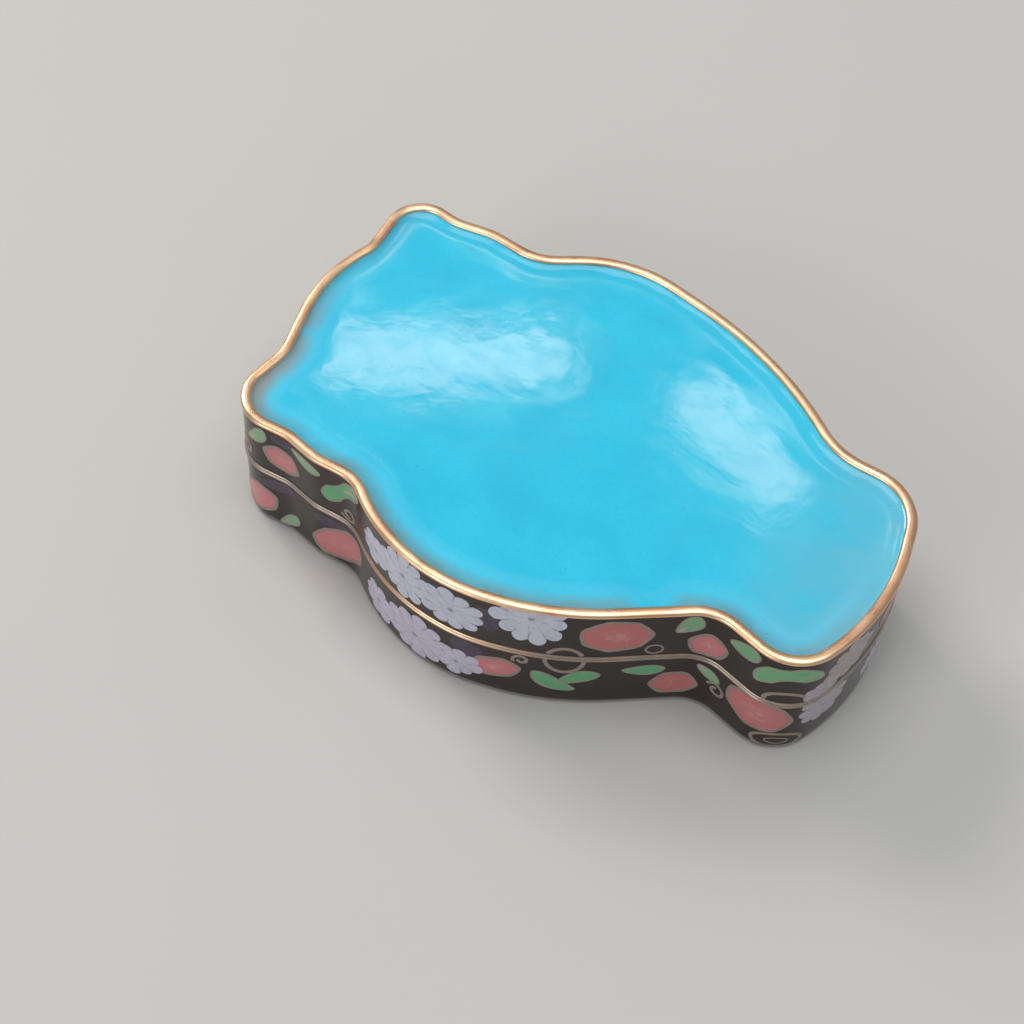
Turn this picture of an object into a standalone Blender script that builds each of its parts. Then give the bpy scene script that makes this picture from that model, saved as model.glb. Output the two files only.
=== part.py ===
"""A small trinket box in cloisonne enamel on gilt copper, with a lift-off lid.

Metres, +Z up. The box stands on the ground plane, centred on the origin, with its length along X
and its rounded head end at +X. The lid rests on the edge of the base, around the base's collar.
"""

from math import acos, atan2, ceil, cos, radians, sin, tan

import bmesh
import bpy
from mathutils import Vector

# Overall size
LENGTH = 0.0760
WIDTH = 0.0508
HEIGHT = 0.0190
SEAM_HEIGHT = 0.0100

# Gaps
SEAM_GAP = 0.0003
FUSE_GAP = 0.0001
COLLAR_CLEARANCE = 0.0003

# Copper and enamel thicknesses
COPPER = 0.0007
SIDE_ENAMEL = 0.0006
TOP_ENAMEL = 0.0006
UNDER_ENAMEL = 0.0006
LINING = 0.0004

# Gilt rim round the top, and the two thin edges that meet at the seam
RIM_WIDTH = 0.0013
RIM_DROP = 0.0005
RIM_CROWN = 0.00035
SEAM_EDGE = 0.0004
RIM_PROUD = 0.00015

# Turquoise field: below the rim's crown, and climbing to the rim in a hollow curve
FIELD_RECESS = 0.0008
FIELD_CLIMB = 0.0005
FIELD_CURVE = 0.0022

# Collar in the base's mouth
COLLAR_THICKNESS = 0.0006
COLLAR_RISE = 0.0030
COLLAR_DEPTH = 0.0014
COLLAR_CHAMFER = 0.00015

# Foot of the base, and its recessed panel
FOOT_WIDTH = 0.0013
FOOT_DROP = 0.0002
FOOT_CHAMFER = 0.0001
BASE_ROUND = 0.0009
PANEL_RECESS = 0.0005
PANEL_CLIMB = 0.0002
PANEL_CURVE = 0.0010

# Fillet where a lining turns from wall to floor
LINING_FILLET = 0.0006

# How finely the curves are cut
ARC_SAG = 0.00011
SMALLEST_RADIUS = 0.0003
CROWN_STEPS = 4
CURVE_STEPS = 3
SMOOTH_ANGLE = radians(40.0)
MERGE_DISTANCE = 0.000001

# Plan outline, anticlockwise: each corner's place as a share of length and of width from the middle,
# and the radius that rounds it as a share of width. A bottle-like form, hand-made and not quite even:
# head at +X, neck, belly, waist and a square foot with a bulging end at -X.
CORNERS = (
    (0.516, -0.040, 0.529),
    (0.462, 0.281, 0.142),
    (0.325, 0.279, 0.176),
    (0.154, 0.454, 0.952),
    (-0.123, 0.517, 0.341),
    (-0.246, 0.391, 0.129),
    (-0.329, 0.402, 0.129),
    (-0.393, 0.385, 0.119),
    (-0.492, 0.407, 0.089),
    (-0.481, 0.200, 0.078),
    (-0.514, 0.061, 0.409),
    (-0.472, -0.175, 0.122),
    (-0.495, -0.383, 0.101),
    (-0.370, -0.371, 0.120),
    (-0.313, -0.390, 0.134),
    (-0.246, -0.387, 0.101),
    (-0.116, -0.535, 0.431),
    (0.117, -0.452, 0.692),
    (0.302, -0.250, 0.106),
    (0.447, -0.302, 0.121),
)

# Insets from the rim's outer edge, from the outside in
BAND_OUT = RIM_PROUD
BAND_IN = BAND_OUT + SIDE_ENAMEL
WALL_OUT = BAND_IN + FUSE_GAP
WALL_IN = WALL_OUT + COPPER
LINING_OUT = WALL_IN + FUSE_GAP
LINING_IN = LINING_OUT + LINING
COLLAR_OUT = WALL_IN + COLLAR_CLEARANCE
COLLAR_IN = COLLAR_OUT + COLLAR_THICKNESS
FOOT_OUT = BAND_OUT + BASE_ROUND + FUSE_GAP
FOOT_IN = FOOT_OUT + FOOT_WIDTH

# Heights, from the ground up
PANEL_TOP = PANEL_RECESS + UNDER_ENAMEL
FLOOR_UNDER = PANEL_TOP + FUSE_GAP
FLOOR_TOP = FLOOR_UNDER + COPPER
BASE_TOP = SEAM_HEIGHT - SEAM_GAP / 2
LID_FOOT = SEAM_HEIGHT + SEAM_GAP / 2
COLLAR_TOP = BASE_TOP + COLLAR_RISE
COLLAR_FOOT = BASE_TOP - COLLAR_DEPTH
RIM_UNDER = HEIGHT - RIM_DROP
FIELD_TOP = HEIGHT - FIELD_RECESS
PLATE_TOP = FIELD_TOP - TOP_ENAMEL - FUSE_GAP
PLATE_UNDER = PLATE_TOP - COPPER


def turn_between(before, corner, after):
    """The angle that the outline turns through at a corner, positive to the left."""
    into = corner - before
    out = after - corner
    return atan2(into.x * out.y - into.y * out.x, into.dot(out))


def inset_corners(places, inset):
    """The outline's sharp corners, with every side moved in by inset."""
    moved = []
    for index, corner in enumerate(places):
        into = (corner - places[index - 1]).normalized()
        out = (places[(index + 1) % len(places)] - corner).normalized()
        inward = Vector((-into.y, into.x)) + Vector((-out.y, out.x))
        moved.append(corner + inward * (2 * inset / inward.length_squared))
    return moved


def outline(inset):
    """Points of the plan outline, moved in from the rim's outer edge by inset.

    Round corners keep their number of points, so outlines of different insets match point by point.
    """
    sharp = [Vector((x * LENGTH, y * WIDTH)) for x, y, _ in CORNERS]
    count = len(sharp)
    turns = [turn_between(sharp[i - 1], sharp[i], sharp[(i + 1) % count]) for i in range(count)]
    places = inset_corners(sharp, inset)
    radii = []
    for turn, corner in zip(turns, CORNERS):
        change = inset if turn > 0 else -inset
        radii.append(max(corner[2] * WIDTH - change, SMALLEST_RADIUS))
    cuts = [radius * tan(abs(turn) / 2) for radius, turn in zip(radii, turns)]
    sides = [(places[(i + 1) % count] - places[i]).length for i in range(count)]
    shares = [min(1.0, sides[i] / (cuts[i] + cuts[(i + 1) % count])) for i in range(count)]
    points = []
    for i, (corner, turn) in enumerate(zip(places, turns)):
        cut = cuts[i] * min(shares[i - 1], shares[i])
        into = (corner - places[i - 1]).normalized()
        side = 1 if turn > 0 else -1
        radius = cut / tan(abs(turn) / 2)
        start = corner - into * cut
        centre = start + Vector((-into.y, into.x)) * (side * radius)
        step = 2 * acos(1 - ARC_SAG / (CORNERS[i][2] * WIDTH))
        steps = max(1, ceil(abs(turn) / step))
        for k in range(steps + 1):
            angle = turn * k / steps
            arm = start - centre
            points.append(centre + Vector((
                cos(angle) * arm.x - sin(angle) * arm.y,
                sin(angle) * arm.x + cos(angle) * arm.y)))
    return points


def outline_middle():
    """The middle of the outline's own box, which is set on the origin."""
    points = outline(0)
    xs = [point.x for point in points]
    ys = [point.y for point in points]
    return Vector(((min(xs) + max(xs)) / 2, (min(ys) + max(ys)) / 2))


MIDDLE = outline_middle()


def arc(centre, reach, rise, start, end, steps):
    """Section points (inset, height) on an ellipse about centre, from start to end in degrees."""
    angles = [radians(start + (end - start) * i / steps) for i in range(steps + 1)]
    return [(centre[0] + reach * cos(angle), centre[1] + rise * sin(angle)) for angle in angles]


def loop_places(inset, height):
    """The plan outline's points at one height, about the origin."""
    return [(*(point - MIDDLE), height) for point in outline(inset)]


def next_loop(bm, verts, edges, places):
    """Extrude a loop and set the new one's corners on places, in the same order."""
    made = bmesh.ops.extrude_edge_only(bm, edges=edges)["geom"]
    fresh = {item for item in made if isinstance(item, bmesh.types.BMVert)}
    ahead = []
    for vert in verts:
        ends = [edge.other_vert(vert) for edge in vert.link_edges]
        ahead.append(next(end for end in ends if end in fresh))
    for vert, place in zip(ahead, places):
        vert.co = place
    return ahead, [bm.edges.get((ahead[i - 1], ahead[i])) for i in range(len(ahead))]


def make_piece(name, section, material, closed_ring):
    """A piece whose section (inset, height) runs round the outline.

    A closed ring joins its section's last point to its first. Otherwise both ends are capped flat.
    """
    bm = bmesh.new()
    verts = [bm.verts.new(place) for place in loop_places(*section[0])]
    edges = [bm.edges.new((verts[i - 1], verts[i])) for i in range(len(verts))]
    if closed_ring:
        section = section + section[:1]
    else:
        bmesh.ops.contextual_create(bm, geom=edges)
    for inset, height in section[1:]:
        verts, edges = next_loop(bm, verts, edges, loop_places(inset, height))
    if closed_ring:
        bmesh.ops.remove_doubles(bm, verts=bm.verts, dist=MERGE_DISTANCE)
    else:
        bmesh.ops.contextual_create(bm, geom=edges)
    bmesh.ops.recalc_face_normals(bm, faces=bm.faces)
    if bm.calc_volume(signed=True) < 0:
        bmesh.ops.reverse_faces(bm, faces=bm.faces)
    mesh = bpy.data.meshes.new(name)
    bm.to_mesh(mesh)
    bm.free()
    mesh.shade_smooth()
    mesh.set_sharp_from_angle(angle=SMOOTH_ANGLE)
    mesh.materials.append(material)
    piece = bpy.data.objects.new(name, mesh)
    bpy.context.scene.collection.objects.link(piece)
    return piece


def make_material(name, colour, roughness, metallic):
    """A Principled material with one colour."""
    material = bpy.data.materials.new(name)
    material.use_nodes = True
    shader = material.node_tree.nodes["Principled BSDF"]
    shader.inputs["Base Color"].default_value = (*colour, 1.0)
    shader.inputs["Roughness"].default_value = roughness
    shader.inputs["Metallic"].default_value = metallic
    return material


def lid_body_section():
    """Top plate, rim, wall and lower edge of the lid, from the plate's top to its underside."""
    crown = arc((RIM_WIDTH / 2, HEIGHT - RIM_CROWN), RIM_WIDTH / 2, RIM_CROWN, 0, 180, CROWN_STEPS)
    return [(RIM_WIDTH, PLATE_TOP)] + crown + [
        (0, RIM_UNDER),
        (WALL_OUT, RIM_UNDER),
        (WALL_OUT, LID_FOOT + SEAM_EDGE),
        (0, LID_FOOT + SEAM_EDGE),
        (0, LID_FOOT),
        (WALL_IN, LID_FOOT),
        (WALL_IN, PLATE_UNDER),
    ]


def lid_field_section():
    """Turquoise field in the lid's top, from its flat middle out to the rim and under."""
    edge = RIM_WIDTH + FUSE_GAP
    hollow = arc((edge + FIELD_CURVE, FIELD_TOP + FIELD_CLIMB), FIELD_CURVE, FIELD_CLIMB,
                 270, 180, CURVE_STEPS)
    return hollow + [(edge, PLATE_TOP + FUSE_GAP)]


def lid_band_section():
    """Dark enamel band round the lid's wall."""
    top = RIM_UNDER - FUSE_GAP
    foot = LID_FOOT + SEAM_EDGE + FUSE_GAP
    return [(BAND_OUT, foot), (BAND_OUT, top), (BAND_IN, top), (BAND_IN, foot)]


def lid_lining_section():
    """Turquoise lining inside the lid, above the space that the collar enters."""
    foot = COLLAR_TOP + COLLAR_CLEARANCE
    back = PLATE_UNDER - FUSE_GAP
    front = back - LINING
    return [
        (LINING_OUT, back),
        (LINING_OUT, foot),
        (LINING_IN, foot),
        (LINING_IN, front - LINING_FILLET),
        (LINING_IN + LINING_FILLET, front),
    ]


def base_body_section():
    """Floor, wall, collar, upper edge and foot of the base, from the floor's top to its underside."""
    heel = arc((FOOT_OUT, FOOT_DROP + BASE_ROUND), FOOT_OUT - WALL_OUT, FOOT_OUT - WALL_OUT,
               180, 270, 2)
    return [
        (WALL_IN, FLOOR_TOP),
        (WALL_IN, COLLAR_FOOT),
        (COLLAR_IN, COLLAR_FOOT),
        (COLLAR_IN, COLLAR_TOP - COLLAR_CHAMFER),
        (COLLAR_IN - COLLAR_CHAMFER, COLLAR_TOP),
        (COLLAR_OUT + COLLAR_CHAMFER, COLLAR_TOP),
        (COLLAR_OUT, COLLAR_TOP - COLLAR_CHAMFER),
        (COLLAR_OUT, BASE_TOP),
        (0, BASE_TOP),
        (0, BASE_TOP - SEAM_EDGE),
        (WALL_OUT, BASE_TOP - SEAM_EDGE),
    ] + heel + [
        (FOOT_OUT, FOOT_CHAMFER),
        (FOOT_OUT + FOOT_CHAMFER, 0),
        (FOOT_IN - FOOT_CHAMFER, 0),
        (FOOT_IN, FOOT_CHAMFER),
        (FOOT_IN, FLOOR_UNDER),
    ]


def base_band_section():
    """Dark enamel band round the base's wall, rounding under to the foot."""
    top = BASE_TOP - SEAM_EDGE - FUSE_GAP
    turn = (BAND_OUT + BASE_ROUND, FOOT_DROP + BASE_ROUND)
    inner = BASE_ROUND - SIDE_ENAMEL
    under = arc(turn, BASE_ROUND, BASE_ROUND, 180, 270, CURVE_STEPS)
    back = arc(turn, inner, inner, 270, 180, 2)
    return [(BAND_OUT, top)] + under + back + [(BAND_IN, top)]


def base_panel_section():
    """Turquoise panel under the base, from its flat middle out to the foot and up to its back."""
    edge = FOOT_IN + FUSE_GAP
    hollow = arc((edge + PANEL_CURVE, PANEL_RECESS - PANEL_CLIMB), PANEL_CURVE, PANEL_CLIMB, 90, 180, 2)
    return hollow + [(edge, PANEL_TOP)]


def base_lining_section():
    """Turquoise lining inside the base, up to the collar."""
    back = FLOOR_TOP + FUSE_GAP
    front = back + LINING
    return [
        (LINING_OUT, back),
        (LINING_OUT, COLLAR_FOOT - FUSE_GAP),
        (LINING_IN, COLLAR_FOOT - FUSE_GAP),
        (LINING_IN, front + LINING_FILLET),
        (LINING_IN + LINING_FILLET, front),
    ]


def main():
    for old in list(bpy.data.objects):
        bpy.data.objects.remove(old)
    gilt = make_material("gilt_copper", (0.83, 0.55, 0.30), 0.30, 1.0)
    turquoise = make_material("turquoise_enamel", (0.045, 0.54, 0.76), 0.12, 0.0)
    dark = make_material("dark_enamel", (0.020, 0.014, 0.012), 0.14, 0.0)
    make_piece("lid_body", lid_body_section(), gilt, False)
    make_piece("lid_field", lid_field_section(), turquoise, False)
    make_piece("lid_band", lid_band_section(), dark, True)
    make_piece("lid_lining", lid_lining_section(), turquoise, False)
    make_piece("base_body", base_body_section(), gilt, False)
    make_piece("base_band", base_band_section(), dark, True)
    make_piece("base_panel", base_panel_section(), turquoise, False)
    make_piece("base_lining", base_lining_section(), turquoise, False)


main()
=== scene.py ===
"""Looks of a small cloisonne enamel box: gilt copper, a turquoise top and dark floral bands.

Run as a script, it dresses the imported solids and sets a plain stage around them.
Lengths are in metres, +Z up. A place on the wall is its length along the wall, anticlockwise from the
middle of the foot end, and its height up the wall.
"""

from bisect import bisect_right
from math import atan2, ceil, cos, pi, radians, sin, tan

import bmesh
import bpy
from bpy.props import FloatProperty, FloatVectorProperty, PointerProperty
from mathutils import Matrix, Vector, noise
from mathutils.kdtree import KDTree


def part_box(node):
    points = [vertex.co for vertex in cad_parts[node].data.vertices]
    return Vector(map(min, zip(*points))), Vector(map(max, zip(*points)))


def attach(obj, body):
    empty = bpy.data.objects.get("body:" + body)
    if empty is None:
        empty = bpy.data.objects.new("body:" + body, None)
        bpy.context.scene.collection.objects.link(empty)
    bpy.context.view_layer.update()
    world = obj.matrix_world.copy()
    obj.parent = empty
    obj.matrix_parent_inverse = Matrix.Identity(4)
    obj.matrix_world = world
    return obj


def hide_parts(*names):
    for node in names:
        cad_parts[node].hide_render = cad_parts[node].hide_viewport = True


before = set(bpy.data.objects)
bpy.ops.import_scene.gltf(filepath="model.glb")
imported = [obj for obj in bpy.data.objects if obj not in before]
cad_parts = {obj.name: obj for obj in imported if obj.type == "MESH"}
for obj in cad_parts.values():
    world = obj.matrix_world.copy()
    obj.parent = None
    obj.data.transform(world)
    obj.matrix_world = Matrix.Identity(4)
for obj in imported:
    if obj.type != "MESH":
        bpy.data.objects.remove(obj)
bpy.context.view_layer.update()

bl_info = {
    "name": "Cloisonne Enamel Box",
    "version": (1, 0, 0),
    "blender": (4, 5, 0),
    "location": "3D View > Sidebar > Enamel Box",
    "description": "Dresses a lobed trinket box in gilt copper, turquoise enamel and floral cloisonne",
    "category": "Add Mesh",
}

MM = 0.001

# Boxes of the solids
LID_LOW, LID_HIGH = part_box("lid_body")
FIELD_LOW, FIELD_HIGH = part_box("lid_field")
LID_BAND_LOW, LID_BAND_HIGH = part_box("lid_band")
LID_LINING_LOW, LID_LINING_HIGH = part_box("lid_lining")
BASE_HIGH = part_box("base_body")[1]
BASE_BAND_LOW, BASE_BAND_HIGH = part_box("base_band")
PANEL_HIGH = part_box("base_panel")[1]
BASE_LINING_LOW, BASE_LINING_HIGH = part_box("base_lining")

LENGTH = LID_HIGH.x - LID_LOW.x
WIDTH = LID_HIGH.y - LID_LOW.y
TOP = LID_HIGH.z

# Details of the sections that the boxes don't give
FUSE_GAP = 0.1 * MM
SEAM_EDGE = 0.4 * MM
RIM_CROWN = 0.40 * MM
FIELD_CLIMB = 0.5 * MM
FIELD_CURVE = 2.2 * MM
FIELD_MARGIN = 4.2 * MM
BASE_ROUND = 0.9 * MM
PANEL_LIFT = 0.3 * MM
PANEL_CLIMB = 0.2 * MM
PANEL_CURVE = 1.0 * MM
LINING = 0.4 * MM
LINING_FILLET = 0.6 * MM
COLLAR_CLEARANCE = 0.3 * MM
COLLAR_THICKNESS = 0.6 * MM
COLLAR_CHAMFER = 0.15 * MM
FOOT_CHAMFER = 0.12 * MM
FOOT_WIRE = 0.28 * MM
EDGE_ROUND = 0.08 * MM
SEAM_CLOSE = 0.1 * MM
ENAMEL_LAP = 0.3 * MM

# Insets from the rim's outer edge, and heights
BAND_OUT = LID_HIGH.x - LID_BAND_HIGH.x
FIELD_EDGE = LID_HIGH.x - FIELD_HIGH.x
RIM_WIDTH = FIELD_EDGE - FUSE_GAP
LINING_OUT = LID_HIGH.x - LID_LINING_HIGH.x
WALL_IN = LINING_OUT - FUSE_GAP
LINING_IN = LINING_OUT + LINING
COLLAR_OUT = WALL_IN + COLLAR_CLEARANCE
COLLAR_IN = COLLAR_OUT + COLLAR_THICKNESS
PANEL_EDGE = BASE_HIGH.x - PANEL_HIGH.x
FOOT_IN = PANEL_EDGE - FUSE_GAP
FOOT_OUT = BAND_OUT + BASE_ROUND + FUSE_GAP
RIM_UNDER = LID_BAND_HIGH.z + FUSE_GAP
PLATE_TOP = FIELD_LOW.z - FUSE_GAP
PLATE_UNDER = LID_LINING_HIGH.z + FUSE_GAP
FIELD_TOP = FIELD_HIGH.z - FIELD_CLIMB
LID_FOOT = LID_LOW.z - SEAM_CLOSE
BASE_TOP = BASE_BAND_HIGH.z + FUSE_GAP + SEAM_EDGE + SEAM_CLOSE
LID_BAND_FOOT = LID_BAND_LOW.z - 2 * FUSE_GAP
BASE_BAND_TOP = BASE_BAND_HIGH.z + 2 * FUSE_GAP
FLOOR_TOP = BASE_LINING_LOW.z - FUSE_GAP
TURN_HEIGHT = BASE_BAND_LOW.z + BASE_ROUND
FOOT_DROP = BASE_BAND_LOW.z

# Plan outline, as the solids have it: each corner's place as a share of length and of width, and the
# radius that rounds it as a share of width. These numbers weren't set by hand: a scratch script fitted
# them to the rim's edge in the photo.
CORNERS = (
    (0.516, -0.040, 0.529),
    (0.462, 0.281, 0.142),
    (0.325, 0.279, 0.176),
    (0.154, 0.454, 0.952),
    (-0.123, 0.517, 0.341),
    (-0.246, 0.391, 0.129),
    (-0.329, 0.402, 0.129),
    (-0.393, 0.385, 0.119),
    (-0.492, 0.407, 0.089),
    (-0.481, 0.200, 0.078),
    (-0.514, 0.061, 0.409),
    (-0.472, -0.175, 0.122),
    (-0.495, -0.383, 0.101),
    (-0.370, -0.371, 0.120),
    (-0.313, -0.390, 0.134),
    (-0.246, -0.387, 0.101),
    (-0.116, -0.535, 0.431),
    (0.117, -0.452, 0.692),
    (0.302, -0.250, 0.106),
    (0.447, -0.302, 0.121),
)
FIELD_CENTRE = Vector((-4.0 * MM, 0.0))

# Fineness
TABLE_STEP = 0.1 * MM
LOOP_POINTS = 640
FIELD_POINTS = 448
FIELD_LOOPS = 52
LINING_LOOPS = 14
BAND_STEPS = 9
CELL_STEP = 0.4 * MM
OUTLINE_STEP = 0.22 * MM
PETAL_POINTS = 12
VIOLET_CORNERS = 7
MERGE_DISTANCE = 0.0005 * MM
SHARP_ANGLE = radians(38.0)

# How deep cells and wires reach into the dark ground, and how much higher each one laid over another is
SINK = 0.12 * MM
LAYER_RISE = 0.012 * MM

# Flowers on the side towards the camera, in millimetres: along the wall, height, length, breadth, turn
# in degrees, corners, and tone from lilac pink 0 to brick red 1. In this table and those below, most
# places along the wall were moved by a scratch script when the outline last changed.
LID_FLOWERS = (
    (26.9, 13.9, 4.3, 3.5, -14, 6, 0.25),
    (73.2, 14.7, 7.2, 5.6, 4, 7, 0.90),
    (83.4, 13.0, 4.1, 3.8, 20, 5, 0.35),
)
BASE_FLOWERS = (
    (22.9, 4.0, 5.4, 4.4, 30, 6, 0.20),
    (35.5, 4.7, 8.6, 4.7, 36, 7, 0.35),
    (60.3, 5.6, 5.2, 3.3, 18, 6, 0.45),
    (80.4, 4.3, 4.6, 4.0, 0, 6, 0.85),
    (90.8, 6.8, 7.5, 5.7, -6, 7, 0.70),
)

# Leaves: along, height, length, breadth, turn in degrees, bend, tone from bright 0 to pale 1. A double
# leaf has a waist instead of a tail, and how cream its high end is.
LID_LEAVES = (
    (23.5, 16.2, 3.7, 1.7, 50, 0.2, 0.85),
    (30.6, 16.8, 4.3, 1.5, -12, 0.2, 0.80),
    (80.9, 16.5, 3.5, 2.4, 52, 0.1, 0.55),
    (87.7, 16.7, 4.1, 2.2, 18, 0.1, 0.35),
)
LID_DOUBLE_LEAVES = (
    (35.8, 15.4, 7.0, 2.6, 42, -0.10, 0.05, 0.96),
    (93.0, 15.6, 7.8, 2.9, 13, -0.55, 0.30, 0.76),
)
BASE_LEAVES = (
    (27.5, 2.3, 3.9, 1.5, 46, 0.1, 0.80),
    (66.8, 4.6, 5.6, 2.2, 148, -0.2, 0.12),
    (69.6, 5.9, 4.9, 2.0, 26, -0.2, 0.12),
    (76.8, 7.3, 4.6, 1.7, 0, 0.1, 0.10),
    (84.1, 7.6, 3.2, 1.5, -32, 0.1, 0.70),
)

# Chrysanthemums: along, height, reach along, reach up, petals, first petal in degrees, and tone from
# blue white 0 through lilac 1 to 2, where tones above 1 are painted shade with a brown painted reflection
LID_BLOOMS = (
    (43.6, 14.0, 3.2, 2.5, 8, 10, 0.10),
    (48.4, 14.8, 3.7, 4.0, 10, 0, 0.00),
    (54.9, 14.2, 4.2, 3.6, 10, 12, 0.15),
    (63.9, 17.3, 4.3, 5.1, 11, 6, 0.00),
    # The next two blooms have tones above 1: painted shade
    (101.3, 14.3, 3.9, 3.5, 10, 0, 1.90),
    (97.9, 11.6, 2.4, 1.9, 8, 0, 1.60),
)
BASE_BLOOMS = (
    (44.0, 4.3, 3.0, 2.9, 8, 8, 0.60),
    (50.3, 4.7, 4.8, 4.0, 11, 0, 0.75),
    (55.9, 4.1, 2.9, 2.6, 8, 15, 0.70),
    # Tone above 1: painted shade
    (98.9, 7.2, 3.5, 3.1, 9, 0, 1.50),
)

# Violet cells: along, height, length, breadth, turn in degrees
LID_VIOLETS = (
    (59.0, 15.0, 2.8, 4.6, 20),
    (26.9, 17.3, 3.0, 1.8, 0),
)
BASE_VIOLETS = (
    (26.1, 8.1, 4.9, 2.2, 14),
    (34.1, 8.0, 5.0, 2.0, 4),
    (57.0, 7.6, 4.3, 3.4, -24),
)

# Wire rings: along, height, half length, half height
LID_RINGS = (
    (67.9, 9.5, 2.15, 2.45),
    (93.5, 10.7, 2.4, 1.8),
    (77.6, 11.7, 0.95, 0.85),
)
BASE_RINGS = (
    (67.9, 9.5, 2.15, 2.45),
    (93.8, 2.0, 2.9, 1.5),
    (93.8, 2.0, 1.3, 0.6),
)

# Wire scrolls: along, height, reach, first angle in degrees, turns
LID_SCROLLS = (
    (36.7, 11.9, 1.2, 200, 1.3),
    (21.4, 12.4, 1.2, 150, -1.3),
)
BASE_SCROLLS = (
    (63.2, 8.3, 1.0, 210, -1.1),
    (85.4, 5.2, 1.3, 160, -1.2),
)

# The hidden sides repeat one plainer group of motifs, in millimetres along the wall
HIDDEN_START = 106.1
HIDDEN_GROUPS = 9
HIDDEN_PITCH = 13.9

# Zones in plan where the look changes, each from where it starts to where it is full
# Head end, where painted pale reflections lie in patches on the top
HEAD_ZONE = (20 * MM, 31 * MM)
# Near side, where a painted dark reflection greys the margin of the top
NEAR_REFLECTION_ZONE = (4 * MM, -12 * MM)
DULL_ZONE = (6 * MM, -4 * MM)
# Foot end, where a painted brown-grey reflection of the rim lies in the near corner of the top
RIM_REFLECTION_ZONE = (-31 * MM, -34.5 * MM)
# Zone near the front where a painted highlight keeps the seam gilt and metallic instead of dull
SEAM_HIGHLIGHT_LEFT = (-17 * MM, -12 * MM)
SEAM_HIGHLIGHT_RIGHT = (9 * MM, 3 * MM)
SEAM_HIGHLIGHT_NEAR = (-15 * MM, -20 * MM)

# Camera and lights. The camera's angles and lens are worked out from the photo.
CAMERA_TURN = radians(27.81)
CAMERA_RAISE = radians(55.46)
CAMERA_ROLL = radians(4.70)
CAMERA_DISTANCE = 0.24005
CAMERA_AIM = Vector((-7.79 * MM, -2.05 * MM, 0.0))
FRAME_PIXELS = 1024
FOCAL_PIXELS = 2000
SENSOR_MM = 36.0
FLOOR_SIZE = 3.0
WINDOW_TINT = (1.0, 0.78, 0.62)


def length_property(label, note, default):
    return FloatProperty(name=label, description=note, default=default, min=0.0, unit="LENGTH", precision=5)


def colour_property(label, note, default):
    return FloatVectorProperty(
        name=label, description=note, default=default, subtype="COLOR", size=3, min=0.0, max=1.0)


class BoxSizes(bpy.types.PropertyGroup):
    """Sizes of the surface work."""

    wire_width: length_property("Wire width", "Breadth of the thin wires round leaves and petals", 0.16 * MM)
    flower_wire: length_property("Flower wire", "Breadth of the flattened wire round a flower", 0.48 * MM)
    scroll_wire: length_property("Scroll wire", "Breadth of the wire in rings and scrolls", 0.52 * MM)
    wire_proud: length_property("Wire height", "How far wires stand out of the dark ground", 0.05 * MM)
    cell_proud: length_property("Cell height", "How far a cell stands out of the dark ground", 0.035 * MM)
    hand_wave: length_property("Hand work", "How far the form wanders from its outline", 0.05 * MM)
    field_wave: length_property("Field waves", "Height of the long waves in the field", 0.016 * MM)
    field_ripple: length_property("Field ripples", "Height of the short ripples in the field", 0.005 * MM)


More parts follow.
